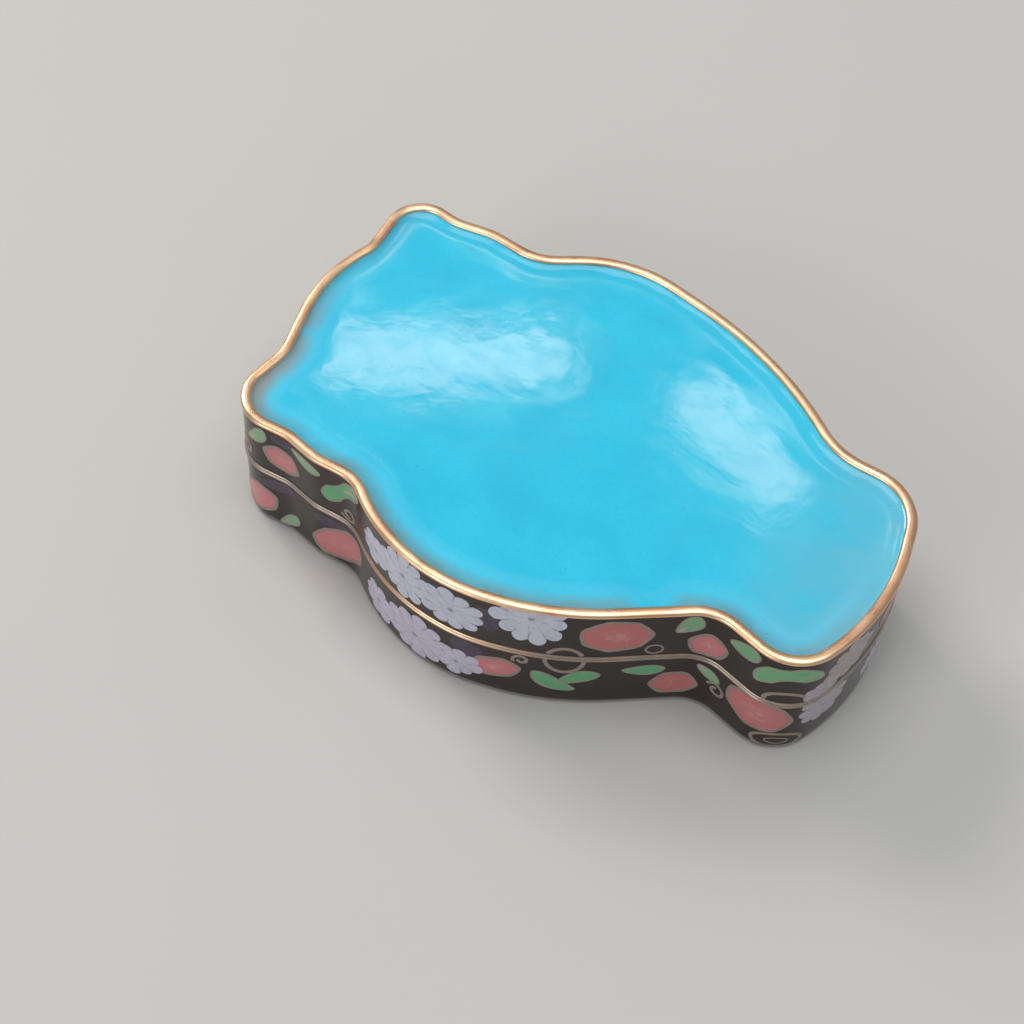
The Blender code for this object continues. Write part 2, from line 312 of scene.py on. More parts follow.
class BoxColours(bpy.types.PropertyGroup):
    """Colours of the metals and enamels."""

    gilt: colour_property("Gilt", "Bright gilding on the rim", (0.97, 0.64, 0.40))
    copper: colour_property("Copper", "Copper where the gilding is rubbed", (0.89, 0.49, 0.30))
    tarnish: colour_property("Tarnish", "Brown tarnish in low places", (0.30, 0.17, 0.10))
    wire: colour_property("Wire", "Dull brass of the drawn wires", (0.34, 0.27, 0.235))
    seam: colour_property("Seam", "Dull lips of metal at the seam", (0.36, 0.29, 0.24))
    turquoise: colour_property("Turquoise", "Main colour of the top", (0.033, 0.53, 0.745))
    turquoise_deep: colour_property("Deep turquoise", "Darker flecks of the top", (0.022, 0.43, 0.64))
    # Mostly a painted dark reflection along the near margin, partly greyer thin enamel towards the rim all
    # round
    turquoise_thin_and_reflection: colour_property("Turquoise edge", "Greyer enamel towards the rim", (0.12, 0.32, 0.39))
    # Painted brown-grey reflection of the rim in the near corner of the top at the foot end
    rim_reflection_brown: colour_property("Scorch", "Brown stain in the corner at the foot end", (0.30, 0.27, 0.24))
    # Painted pale reflections, laid as patches of paler, greyer turquoise at the head end
    turquoise_pale_sheen: colour_property("Pale turquoise", "Cloudier enamel at the head end", (0.135, 0.47, 0.61))
    ground: colour_property("Dark ground", "Brown-black enamel of the bands", (0.020, 0.010, 0.008))
    rose: colour_property("Rose", "Lilac-pink flowers", (0.63, 0.205, 0.23))
    brick: colour_property("Brick", "Brick-red flowers", (0.51, 0.14, 0.13))
    rose_heart: colour_property("Rose heart", "Paler heart of a flower", (0.68, 0.36, 0.34))
    leaf: colour_property("Leaf", "Bright green leaves", (0.085, 0.36, 0.150))
    leaf_pale: colour_property("Pale leaf", "Grey-green leaves", (0.28, 0.42, 0.25))
    cream: colour_property("Cream", "Cream tip of a leaf", (0.42, 0.38, 0.30))
    white: colour_property("White", "Blue-white petals", (0.60, 0.61, 0.72))
    lilac: colour_property("Lilac", "Lilac-white petals", (0.56, 0.50, 0.63))
    petal_grey: colour_property("Petal grey", "Grey heart of a white flower", (0.22, 0.22, 0.29))
    # Painted shade with a brown painted reflection, on the dim petals at the head end
    petal_shade: colour_property("Petal clay", "Browner petals at the head end", (0.40, 0.32, 0.29))
    violet: colour_property("Violet", "Violet-black cells", (0.064, 0.040, 0.072))
    ground_cloud: colour_property("Clouded ground", "Browner clouds in the ground", (0.028, 0.016, 0.012))
    ground_pit: colour_property("Ground pit", "Pale pits in the ground", (0.10, 0.08, 0.06))
    field_pit: colour_property("Field pit", "Dark pits in the turquoise", (0.01, 0.09, 0.13))
    floor: colour_property("Floor", "Pale floor", (0.53, 0.51, 0.48))


def wall_table():
    """Fine places along the enamel face of the wall, with their lengths along it and outward normals."""
    sharp = [Vector((x * LENGTH, y * WIDTH)) for x, y, _ in CORNERS]
    places = []
    normals = []
    for index, corner in enumerate(sharp):
        into = (corner - sharp[index - 1]).normalized()
        out = (sharp[(index + 1) % len(sharp)] - corner).normalized()
        turn = atan2(into.x * out.y - into.y * out.x, into.dot(out))
        radius = CORNERS[index][2] * WIDTH
        side = 1 if turn > 0 else -1
        start = corner - into * (radius * tan(abs(turn) / 2))
        centre = start + Vector((-into.y, into.x)) * (side * radius)
        steps = ceil(abs(turn) * radius / TABLE_STEP)
        for k in range(steps + 1):
            normal = Matrix.Rotation(turn * k / steps, 2) @ Vector((into.y, -into.x))
            places.append(centre + normal * (side * radius - BAND_OUT))
            normals.append(normal)
    low = Vector((min(p.x for p in places), min(p.y for p in places)))
    high = Vector((max(p.x for p in places), max(p.y for p in places)))
    middle = (low + high) / 2
    first = min(range(len(places)), key=lambda i: places[i].x)
    order = list(range(first, len(places))) + list(range(first + 1))
    places = [places[i] - middle for i in order]
    normals = [normals[i] for i in order]
    lengths = [0.0]
    for before, after in zip(places, places[1:]):
        lengths.append(lengths[-1] + (after - before).length)
    return lengths, places, normals


WALL_LENGTHS, WALL_PLACES, WALL_NORMALS = wall_table()
WALL_LENGTH = WALL_LENGTHS[-1]


def wall_at(along):
    """Place and outward normal in plan, at a length along the wall."""
    along %= WALL_LENGTH
    index = min(bisect_right(WALL_LENGTHS, along), len(WALL_LENGTHS) - 1) - 1
    span = WALL_LENGTHS[index + 1] - WALL_LENGTHS[index]
    share = (along - WALL_LENGTHS[index]) / span if span else 0.0
    place = WALL_PLACES[index].lerp(WALL_PLACES[index + 1], share)
    normal = WALL_NORMALS[index].lerp(WALL_NORMALS[index + 1], share)
    return place, normal.normalized()


def sizes():
    return bpy.context.scene.enamel_box_sizes


def colours():
    return bpy.context.scene.enamel_box_colours


def by_hand(place):
    """The place, moved by the small unevenness of hand work, which fades out at the floor."""
    wide = noise.noise_vector(place / (7 * MM))
    fine = noise.noise_vector(place / (1.9 * MM)) * 0.22
    fade = min(1.0, max(0.0, place.z / MM))
    return place + (wide + fine) * (sizes().hand_wave * fade)


def section_place(along, inset, height):
    """Place of a section's point (inset, height) at a length along the wall."""
    place, normal = wall_at(along)
    flat = place - normal * (inset - BAND_OUT)
    return by_hand(Vector((flat.x, flat.y, height)))


def on_wall(along, up, proud):
    """Place on the enamel of the wall. Low down the wall rounds under to the foot."""
    if up >= TURN_HEIGHT:
        return section_place(along, BAND_OUT - proud, up)
    angle = (TURN_HEIGHT - up) / BASE_ROUND
    reach = BASE_ROUND + proud
    return section_place(along, BAND_OUT + BASE_ROUND - reach * cos(angle), TURN_HEIGHT - reach * sin(angle))


def chance(number):
    """A fixed share from 0 to 1 that looks random, for one number."""
    return (sin(number * 12.9898) * 43758.5453) % 1.0


def arc(centre, reach, rise, start, end, steps):
    """Section points (inset, height) on an ellipse about centre, from start to end in degrees."""
    angles = [radians(start + (end - start) * i / steps) for i in range(steps + 1)]
    return [(centre[0] + reach * cos(angle), centre[1] + rise * sin(angle)) for angle in angles]


def first_loop(bm, places):
    """A closed loop of edges through the places."""
    made = bmesh.ops.create_circle(bm, segments=len(places), radius=MM)["verts"]
    verts = [made[0]]
    edge = made[0].link_edges[0]
    while len(verts) < len(places):
        verts.append(edge.other_vert(verts[-1]))
        edge = next(other for other in verts[-1].link_edges if other != edge)
    for vert, place in zip(verts, places):
        vert.co = place
    return verts, [bm.edges.get((verts[i - 1], verts[i])) for i in range(len(verts))]


def next_loop(bm, verts, edges, places):
    """Extrude a loop and set the new one's corners on places, in the same order."""
    made = bmesh.ops.extrude_edge_only(bm, edges=edges)["geom"]
    fresh = {item for item in made if isinstance(item, bmesh.types.BMVert)}
    ahead = []
    for vert in verts:
        ends = [edge.other_vert(vert) for edge in vert.link_edges]
        ahead.append(next(end for end in ends if end in fresh))
    for vert, place in zip(ahead, places):
        vert.co = place
    return ahead, [bm.edges.get((ahead[i - 1], ahead[i])) for i in range(len(ahead))]


def carry_round(bm, section, points):
    """Carry a section of (inset, height) round the outline. Returns its first and last loops."""
    steps = [WALL_LENGTH * i / points for i in range(points)]
    first = first_loop(bm, [section_place(along, *section[0]) for along in steps])
    loop = first
    for inset, height in section[1:]:
        loop = next_loop(bm, *loop, [section_place(along, inset, height) for along in steps])
    return first, loop


def close_flat(bm, loop):
    bmesh.ops.contextual_create(bm, geom=loop[1])


def close_to_middle(bm, loop, loops, height_at):
    """Shrink a loop towards the middle of the plan and close it in a pole."""
    rim = [vert.co.copy() for vert in loop[0]]
    level = sum(place.z for place in rim) / len(rim)
    middle = Vector((FIELD_CENTRE.x, FIELD_CENTRE.y, level))
    for k in range(1, loops + 1):
        share = 1 - k / loops
        places = []
        for place in rim:
            flat = middle + (place - middle) * max(share, 0.25 / loops)
            flat.z = level + (place.z - level) * max(0.0, 1 - (1 - share) * 12)
            places.append(Vector((flat.x, flat.y, height_at(flat, flat.z, share))))
        loop = next_loop(bm, *loop, places)
    pole = sum((vert.co for vert in loop[0]), Vector()) / len(loop[0])
    bmesh.ops.pointmerge(bm, verts=loop[0], merge_co=pole)


def finish_piece(bm, name, material, replaces=None):
    """Turn a bmesh into a smooth piece that rides on the box."""
    bmesh.ops.recalc_face_normals(bm, faces=bm.faces)
    if bm.calc_volume(signed=True) < 0:
        bmesh.ops.reverse_faces(bm, faces=bm.faces)
    mesh = bpy.data.meshes.new(name)
    bm.to_mesh(mesh)
    bm.free()
    mesh.shade_smooth()
    mesh.set_sharp_from_angle(angle=SHARP_ANGLE)
    mesh.materials.append(material)
    piece = bpy.data.objects.new(name, mesh)
    bpy.context.scene.collection.objects.link(piece)
    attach(piece, "root")
    if replaces:
        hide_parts(replaces)


class Shader:
    """A Principled material under construction. A value is a plain one or another node's output."""

    def __init__(self, name):
        self.material = bpy.data.materials.new(name)
        self.material.use_nodes = True
        self.tree = self.material.node_tree
        self.coordinates = self.node("TexCoord").outputs["Object"]

    def feed(self, socket, value):
        if isinstance(value, bpy.types.NodeSocket):
            self.tree.links.new(value, socket)
        else:
            socket.default_value = value

    def node(self, kind, **values):
        """A new node with these inputs."""
        node = self.tree.nodes.new("ShaderNode" + kind)
        for name, value in values.items():
            self.feed(node.inputs[name.replace("_", " ")], value)
        return node

    def set(self, **values):
        """Set or link the Principled node's own inputs."""
        inputs = self.tree.nodes["Principled BSDF"].inputs
        for name, value in values.items():
            self.feed(inputs[name.replace("_", " ")], value)

    def noise(self, size, detail=2.0, roughness=0.5):
        """Noise with features of about the given size in millimetres."""
        return self.node("TexNoise", Vector=self.coordinates, Scale=1 / (size * MM), Detail=detail,
                         Roughness=roughness).outputs["Fac"]

    def place(self, axis):
        """The surface's place along one axis of the box."""
        return self.node("SeparateXYZ", Vector=self.coordinates).outputs[axis]

    def between(self, value, low, high, to_low=0.0, to_high=1.0):
        """A value remapped from one range to another, without going past it."""
        return self.node("MapRange", Value=value, From_Min=low, From_Max=high, To_Min=to_low,
                         To_Max=to_high).outputs["Result"]

    def patches(self, size, detail, roughness, low, high, to_low=0.0, to_high=1.0):
        """Soft patches of about the given size in millimetres."""
        return self.between(self.noise(size, detail, roughness), low, high, to_low, to_high)

    def pits(self, pitch, size):
        """Sparse round pits: 1 in a pit, 0 elsewhere."""
        cells = self.node("TexVoronoi", Vector=self.coordinates, Scale=1 / pitch)
        return self.between(cells.outputs["Distance"], size / pitch, size / pitch * 0.5)

    def combine(self, operation, first, second):
        node = self.node("Math")
        node.operation = operation
        self.feed(node.inputs[0], first)
        self.feed(node.inputs[1], second)
        return node.outputs["Value"]

    def multiply(self, first, second):
        return self.combine("MULTIPLY", first, second)

    def mix(self, share, first, second, strength=1.0):
        """One colour laid over another by a share. A colour is a box colour's name, or an output."""
        if strength < 1.0:
            share = self.multiply(share, strength)
        node = self.node("Mix")
        node.data_type = "RGBA"
        for name, value in (("A", first), ("B", second)):
            socket = next(s for s in node.inputs if s.name == name and s.type == "RGBA")
            self.feed(socket, (*getattr(colours(), value), 1.0) if isinstance(value, str) else value)
        self.feed(node.inputs["Factor"], share)
        return next(s for s in node.outputs if s.type == "RGBA")

    def cell_values(self):
        """The three values that each cell's mesh carries."""
        attribute = self.node("Attribute")
        attribute.attribute_name = "cell"
        split = self.node("SeparateColor", Color=attribute.outputs["Color"])
        return split.outputs["Red"], split.outputs["Green"], split.outputs["Blue"]

    def bump(self, *layers):
        """Bump from layers of (height output, depth in millimetres)."""
        below = {}
        for height, depth in layers:
            node = self.node("Bump", Height=height, Distance=depth * MM, **below)
            below = {"Normal": node.outputs["Normal"]}
        self.set(**below)


def rubbed_gilding():
    """Bright gold-pink, with copper showing through, a little brown tarnish and a duller seam, which near
    the front is left gilt and metallic as a painted highlight.
    """
    shader = Shader("rubbed_gilding")
    base = shader.mix(shader.patches(4.5, 2.0, 0.5, 0.44, 0.64), "gilt", "copper")
    base = shader.mix(shader.patches(3.0, 2.0, 0.5, 0.58, 0.74), base, "tarnish", 0.35)
    height = shader.place("Z")
    above = shader.between(height, BASE_BAND_TOP - 0.3 * MM, BASE_BAND_TOP - 0.1 * MM)
    below = shader.between(height, LID_BAND_FOOT + 0.3 * MM, LID_BAND_FOOT + 0.1 * MM)
    seam_wear_and_highlight = shader.patches(2.5, 3.0, 0.6, 0.66, 0.50, 0.7, 1.0)
    # Painted highlight: near the front the dull seam colour gives way to bright gilt and full metal
    bright = shader.multiply(shader.between(shader.place("X"), *SEAM_HIGHLIGHT_LEFT),
                             shader.between(shader.place("X"), *SEAM_HIGHLIGHT_RIGHT))
    bright = shader.multiply(bright, shader.between(shader.place("Y"), *SEAM_HIGHLIGHT_NEAR, 0.0, 0.6))
    seam_wear_and_highlight = shader.multiply(seam_wear_and_highlight, shader.between(bright, 0.0, 1.0, 1.0, 0.0))
    seam = shader.multiply(shader.multiply(above, below), seam_wear_and_highlight)
    shader.set(
        Base_Color=shader.mix(seam, base, "seam"),
        Metallic=shader.between(seam, 0.0, 1.0, 1.0, 0.45),
        Roughness=shader.patches(2.4, 2.0, 0.5, 0.3, 0.7, 0.27, 0.38))
    shader.bump((shader.noise(2.6), 0.012))
    return shader.material


def dull_wire():
    """Drawn brass wire, ground flat and gone dull."""
    shader = Shader("dull_wire")
    shader.set(
        Metallic=0.35,
        Base_Color=shader.mix(shader.patches(1.1, 4.0, 0.6, 0.45, 0.75), "wire", "tarnish", 0.5),
        Roughness=shader.patches(0.5, 2.0, 0.5, 0.3, 0.7, 0.34, 0.52))
    shader.bump((shader.noise(0.25), 0.008))
    return shader.material


def glassy_surface(shader, ripple, rough_low, rough_high, dull=None):
    """Gloss of fired and polished enamel: ripples, fine orange peel and a few pits. Returns the pits."""
    gloss = shader.patches(2.4, 3.0, 0.5, 0.3, 0.7, rough_low, rough_high)
    shader.set(Roughness=gloss if dull is None else shader.combine("ADD", gloss, dull))
    pits = shader.pits(2.6 * MM, 0.09 * MM)
    shader.bump(
        (shader.noise(2.2), ripple),
        (shader.noise(0.55), ripple * 0.16),
        (shader.between(pits, 0.0, 1.0, 1.0, 0.0), 0.02))
    return pits


def glossy_turquoise():
    """Opaque turquoise, flecked and cloudy, greyer and duller in the near margin, paler at the head. The
    grey is a painted dark reflection with a little thinner enamel, and the pale head patches and the brown
    near corner are painted reflections.
    """
    shader = Shader("glossy_turquoise")
    margin = shader.cell_values()[0]
    dull = shader.multiply(shader.between(margin, 0.10, 0.45),
                           shader.between(shader.place("Y"), *DULL_ZONE, 0.16, 1.0))
    pits = glassy_surface(shader, 0.008, 0.06, 0.10, shader.multiply(dull, 0.42))
    patchy = shader.patches(5, 3.0, 0.6, 0.30, 0.60, 0.45, 1.0)
    near = shader.between(shader.place("Y"), *NEAR_REFLECTION_ZONE, 0.15, 1.0)
    # Painted dark reflection along the near margin, at a fifth of its strength elsewhere as thinner enamel
    thin = shader.multiply(shader.between(margin, 0.50, 0.85), shader.multiply(patchy, near))
    # Painted reflection: pale patches at the head end
    head = shader.multiply(shader.between(shader.place("X"), *HEAD_ZONE), patchy)
    # Painted reflection: brown-grey close to the rim in the near corner at the foot end
    corner = shader.multiply(shader.between(shader.place("X"), *RIM_REFLECTION_ZONE), near)
    rim_reflection_share = shader.multiply(shader.between(margin, 0.35, 0.85), corner)
    base = shader.mix(shader.patches(9, 3.0, 0.55, 0.35, 0.70), "turquoise", "turquoise_deep", 0.55)
    base = shader.mix(shader.patches(0.42, 3.0, 0.7, 0.52, 0.78), base, "turquoise_deep", 0.7)
    base = shader.mix(head, base, "turquoise_pale_sheen", 0.75)
    base = shader.mix(thin, base, "turquoise_thin_and_reflection")
    base = shader.mix(rim_reflection_share, base, "rim_reflection_brown", 0.7)
    shader.set(Base_Color=shader.mix(pits, base, "field_pit", 0.8))
    return shader.material


def dark_ground():
    """Brown-black ground of the bands."""
    shader = Shader("dark_ground")
    pits = glassy_surface(shader, 0.014, 0.10, 0.20)
    base = shader.mix(shader.patches(4, 3.0, 0.6, 0.40, 0.70), "ground", "ground_cloud", 0.5)
    shader.set(Specular_IOR_Level=0.38, Base_Color=shader.mix(pits, base, "ground_pit", 0.7))
    return shader.material


def rose_enamel():
    """Rose cells: tone from lilac pink to brick red, with a paler streaked heart."""
    shader = Shader("rose_enamel")
    tone, depth, _ = shader.cell_values()
    pits = glassy_surface(shader, 0.012, 0.16, 0.28)
    streaks = shader.patches(0.8, 4.0, 0.65, 0.42, 0.68)
    heart = shader.multiply(shader.between(depth, 0.62, 0.05), streaks)
    base = shader.mix(tone, "rose", "brick")
    base = shader.mix(heart, base, "rose_heart", 0.85)
    shader.set(Base_Color=shader.mix(pits, base, "ground", 0.6))
    return shader.material


def leaf_enamel():
    """Green cells: tone from bright to grey green, with a cream tip."""
    shader = Shader("leaf_enamel")
    tone, depth, tip = shader.cell_values()
    glassy_surface(shader, 0.012, 0.16, 0.28)
    base = shader.mix(tone, "leaf", "leaf_pale")
    base = shader.mix(shader.patches(0.7, 3.0, 0.6, 0.35, 0.70), base, "leaf_pale", 0.25)
    base = shader.mix(shader.between(depth, 0.7, 1.0), base, "leaf_pale", 0.35)
    shader.set(Base_Color=shader.mix(shader.between(tip, 0.72, 0.98), base, "cream"))
    return shader.material


def petal_enamel():
    """White cells: tone from blue white through lilac to painted shade with a brown painted reflection, grey
    at the heart and in the creases.
    """
    shader = Shader("petal_enamel")
    tone, depth, crease = shader.cell_values()
    glassy_surface(shader, 0.012, 0.16, 0.28)
    base = shader.mix(tone, "white", "lilac")
    # Painted shade: tones above 1 turn the petals dim and brown
    base = shader.mix(shader.between(tone, 1.0, 2.0), base, "petal_shade")
    base = shader.mix(shader.patches(0.9, 4.0, 0.65, 0.42, 0.72), base, "petal_grey", 0.30)
    base = shader.mix(shader.between(depth, 0.16, 0.05), base, "petal_grey", 0.8)
    base = shader.mix(shader.between(crease, 0.55, 1.0), base, "petal_grey", 0.40)
    shader.set(Base_Color=base)
    return shader.material


def violet_enamel():
    """Violet-black cells."""
    shader = Shader("violet_enamel")
    glassy_surface(shader, 0.012, 0.14, 0.24)
    cloud = shader.patches(1.2, 3.0, 0.6, 0.40, 0.70)
    shader.set(Specular_IOR_Level=0.38, Base_Color=shader.mix(cloud, "violet", "ground", 0.4))
    return shader.material


def pale_floor():
    """Plain pale floor."""
    shader = Shader("pale_floor")
    shade = (*(0.96 * channel for channel in colours().floor), 1.0)
    shader.set(Roughness=0.7, Base_Color=shader.mix(shader.noise(60, 3.0), "floor", shade))
    return shader.material


def material_named(maker):
    """A material, made once."""
    return bpy.data.materials.get(maker.__name__) or maker()


def build_lid_shell():
    crown = arc((RIM_WIDTH / 2, TOP - RIM_CROWN), RIM_WIDTH / 2, RIM_CROWN, 0, 180, 14)
    section = [(RIM_WIDTH, PLATE_TOP)] + crown + [
        (0, RIM_UNDER + EDGE_ROUND),
        (EDGE_ROUND, RIM_UNDER),
        (BAND_OUT + 2 * EDGE_ROUND, RIM_UNDER),
        (BAND_OUT + 2 * EDGE_ROUND, LID_BAND_FOOT),
        (EDGE_ROUND, LID_BAND_FOOT),
        (0, LID_BAND_FOOT - EDGE_ROUND),
        (0, LID_FOOT + EDGE_ROUND),
        (EDGE_ROUND, LID_FOOT),
        (WALL_IN, LID_FOOT),
        (WALL_IN, PLATE_UNDER),
    ]
    bm = bmesh.new()
    for loop in carry_round(bm, section, LOOP_POINTS):
        close_flat(bm, loop)
    finish_piece(bm, "lid_shell", material_named(rubbed_gilding), "lid_body")


def build_base_shell():
    collar_foot = BASE_LINING_HIGH.z + FUSE_GAP
    heel = arc((FOOT_OUT, TURN_HEIGHT), FOOT_OUT - BAND_OUT - 2 * EDGE_ROUND, BASE_ROUND - SINK, 180, 270, 5)
    section = [
        (WALL_IN, FLOOR_TOP),
        (WALL_IN, collar_foot),
        (COLLAR_IN, collar_foot),
        (COLLAR_IN, BASE_HIGH.z - COLLAR_CHAMFER),
        (COLLAR_IN - COLLAR_CHAMFER, BASE_HIGH.z),
        (COLLAR_OUT + COLLAR_CHAMFER, BASE_HIGH.z),
        (COLLAR_OUT, BASE_HIGH.z - COLLAR_CHAMFER),
        (COLLAR_OUT, BASE_TOP),
        (EDGE_ROUND, BASE_TOP),
        (0, BASE_TOP - EDGE_ROUND),
        (0, BASE_BAND_TOP + EDGE_ROUND),
        (EDGE_ROUND, BASE_BAND_TOP),
        (BAND_OUT + 2 * EDGE_ROUND, BASE_BAND_TOP),
    ] + heel + [
        (FOOT_OUT, FOOT_CHAMFER),
        (FOOT_OUT + FOOT_CHAMFER, 0),
        (FOOT_IN - FOOT_CHAMFER, 0),
        (FOOT_IN, FOOT_CHAMFER),
        (FOOT_IN, PANEL_HIGH.z + FUSE_GAP),
    ]
    bm = bmesh.new()
    for loop in carry_round(bm, section, LOOP_POINTS):
        close_flat(bm, loop)
    finish_piece(bm, "base_shell", material_named(rubbed_gilding), "base_body")


def field_height(flat, level, share):
    """Height of the turquoise field, with its long waves and short ripples."""
    settle = min(1.0, (1 - share) * 6)
    spot = Vector((flat.x, flat.y, 0.0))
    wave = noise.noise(spot / (9 * MM)) * sizes().field_wave
    ripple = noise.noise(spot / (2.4 * MM)) * sizes().field_ripple
    return level + (wave + ripple) * settle


def mark_margin(bm):
    """Store how near the rim each point is: 1 at the rim, 0 from the margin's inner edge inwards."""
    tree = KDTree(len(WALL_PLACES))
    for index, place in enumerate(WALL_PLACES):
        tree.insert((place.x, place.y, 0.0), index)
    tree.balance()
    values = bm.verts.layers.float_color.new("cell")
    for vert in bm.verts:
        away = tree.find((vert.co.x, vert.co.y, 0.0))[2] - (RIM_WIDTH - BAND_OUT)
        margin = min(1.0, max(0.0, 1 - away / FIELD_MARGIN))
        vert[values] = (margin, 0.0, 0.0, 1.0)


def build_lid_field():
    edge = RIM_WIDTH - EDGE_ROUND
    hollow = arc((edge + FIELD_CURVE, FIELD_TOP + FIELD_CLIMB), FIELD_CURVE, FIELD_CLIMB, 180, 270, 10)
    lap = (edge - ENAMEL_LAP, FIELD_TOP + FIELD_CLIMB + ENAMEL_LAP / 3)
    bm = bmesh.new()
    first, last = carry_round(bm, [(edge, FIELD_LOW.z), lap] + hollow, FIELD_POINTS)
    for vert in bm.verts:
        lift = min(1.0, max(0.0, (vert.co.z - FIELD_TOP) / FIELD_CLIMB))
        vert.co.z += lift * noise.noise(vert.co / (1.7 * MM)) * ENAMEL_LAP / 2
    close_flat(bm, first)
    close_to_middle(bm, last, FIELD_LOOPS, field_height)
    mark_margin(bm)
    finish_piece(bm, "lid_turquoise", material_named(glossy_turquoise), "lid_field")


def build_base_panel():
    edge = FOOT_IN - EDGE_ROUND
    low = FOOT_DROP + PANEL_LIFT
    hollow = arc((edge + PANEL_CURVE, low - PANEL_CLIMB), PANEL_CURVE, PANEL_CLIMB, 180, 90, 6)
    bm = bmesh.new()
    first, last = carry_round(bm, [(edge, PANEL_HIGH.z)] + hollow, FIELD_POINTS)
    close_flat(bm, first)
    close_to_middle(bm, last, LINING_LOOPS * 2, field_height)
    finish_piece(bm, "base_turquoise", material_named(glossy_turquoise), "base_panel")


def build_lining(name, node, back, foot, towards):
    """A cup of enamel. Its floor lies towards -1 below its mouth, or +1 above it."""
    front = back - towards * LINING
    fillet = arc((LINING_IN + LINING_FILLET, front - towards * LINING_FILLET), LINING_FILLET, LINING_FILLET,
                 180, 180 - towards * 90, 4)
    bm = bmesh.new()
    first, last = carry_round(bm, [(LINING_OUT, back), (LINING_OUT, foot), (LINING_IN, foot)] + fillet,
                              FIELD_POINTS // 2)
    close_flat(bm, first)
    close_to_middle(bm, last, LINING_LOOPS, field_height)
    finish_piece(bm, name, material_named(glossy_turquoise), node)


def build_bands():
    """The dark ground of both bands."""
    steps = [i / BAND_STEPS for i in range(BAND_STEPS + 1)]
    back = BAND_OUT + 2.5 * EDGE_ROUND
    lid = [(BAND_OUT, LID_BAND_FOOT + (RIM_UNDER - LID_BAND_FOOT) * t) for t in steps]
    lid = lid + [(back, RIM_UNDER), (back, LID_BAND_FOOT)]
    under = arc((BAND_OUT + BASE_ROUND, TURN_HEIGHT), BASE_ROUND, BASE_ROUND, 180, 270, 8)
    base = [(BAND_OUT, BASE_BAND_TOP + (TURN_HEIGHT - BASE_BAND_TOP) * t) for t in steps[:-1]]
    base = base + under + [(BAND_OUT + BASE_ROUND, FOOT_DROP + SINK)]
    base = base + [(back, TURN_HEIGHT), (back, BASE_BAND_TOP)]
    for name, section, node in (("lid_dark_band", lid, "lid_band"), ("base_dark_band", base, "base_band")):
        bm = bmesh.new()
        carry_round(bm, section + section[:1], LOOP_POINTS)
        bmesh.ops.remove_doubles(bm, verts=bm.verts, dist=MERGE_DISTANCE)
        finish_piece(bm, name, material_named(dark_ground), node)


class Cells:
    """Cells or wires of one colour on one band, laid out flat and then bent onto the wall."""

    def __init__(self, name, maker, low, high):
        self.name = name
        self.maker = maker
        self.low = low
        self.high = high
        self.bm = bmesh.new()
        self.values = self.bm.verts.layers.float_color.new("cell")

    def held(self, point):
        """A point kept on the band."""
        return Vector((point[0], min(max(point[1], self.low), self.high)))

    def paint(self, verts, values):
        for vert, value in zip(verts, values):
            vert[self.values] = (*value, 1.0)

    def cell(self, outline, middle, tone, layer=0, third=None):
        """A low cushion of enamel. Its mesh carries its tone, depth from the middle and a third value."""
        outline = [self.held(point) for point in outline]
        middle = self.held(middle)
        proud = sizes().cell_proud + layer * LAYER_RISE
        third = third or [0.0] * len(outline)
        reach = max((point - middle).length for point in outline)
        rings = max(2, ceil(reach / CELL_STEP))
        loop = first_loop(self.bm, [(*point, -SINK) for point in outline])
        close_flat(self.bm, loop)
        self.paint(loop[0], [(tone, 1.0, value) for value in third])
        for k in range(rings):
            share = 1 - k / rings
            lift = proud * (0.72 + 0.28 * (1 - share ** 4))
            places = [(*middle.lerp(point, share), lift) for point in outline]
            loop = next_loop(self.bm, *loop, places)
            self.paint(loop[0], [(tone, share, value) for value in third])
        for vert in loop[0]:
            vert[self.values] = (tone, share / 2, vert[self.values][2], 1.0)
        merged = next_loop(self.bm, *loop, [(*middle, proud)] * len(outline))
        self.paint(merged[0], [(tone, 0.0, 0.0)] * len(outline))
        bmesh.ops.pointmerge(self.bm, verts=merged[0], merge_co=(*middle, proud))

    def wire(self, path, width, closed, layer=0):
        """A flattened wire along a path of points."""
        proud = sizes().wire_proud + layer * LAYER_RISE
        count = len(path)
        half = [(0.5, -SINK), (0.5, proud * 0.7), (0.25, proud)]
        crown = half + [(-across, lift) for across, lift in reversed(half)]
        loop = None
        order = list(range(count)) + ([0] if closed else [])
        for i in order:
            before = path[i - 1] if closed or i else path[0]
            after = path[(i + 1) % count] if closed or i < count - 1 else path[-1]
            ahead = (Vector(after) - Vector(before)).normalized()
            side = Vector((-ahead.y, ahead.x))
            places = []
            for share, lift in crown:
                flat = self.held(Vector(path[i]) + side * (share * width))
                places.append((*flat, lift))
            if loop:
                loop = next_loop(self.bm, *loop, places)
            else:
                loop = first_loop(self.bm, places)
                if not closed:
                    close_flat(self.bm, loop)
        if not closed:
            close_flat(self.bm, loop)

    def finish(self):
        bmesh.ops.remove_doubles(self.bm, verts=self.bm.verts, dist=MERGE_DISTANCE)
        for vert in self.bm.verts:
            vert.co = on_wall(*vert.co)
        finish_piece(self.bm, self.name, material_named(self.maker), None)


def turned(point, centre, angle):
    """A point turned about the origin, then moved to a centre."""
    return Vector((
        centre[0] + point[0] * cos(angle) - point[1] * sin(angle),
        centre[1] + point[0] * sin(angle) + point[1] * cos(angle)))


def grown(outline, by):
    """A closed outline, anticlockwise, moved outwards."""
    moved = []
    for i, point in enumerate(outline):
        ahead = (outline[(i + 1) % len(outline)] - outline[i - 1]).normalized()
        moved.append(point + Vector((ahead.y, -ahead.x)) * by)
    return moved


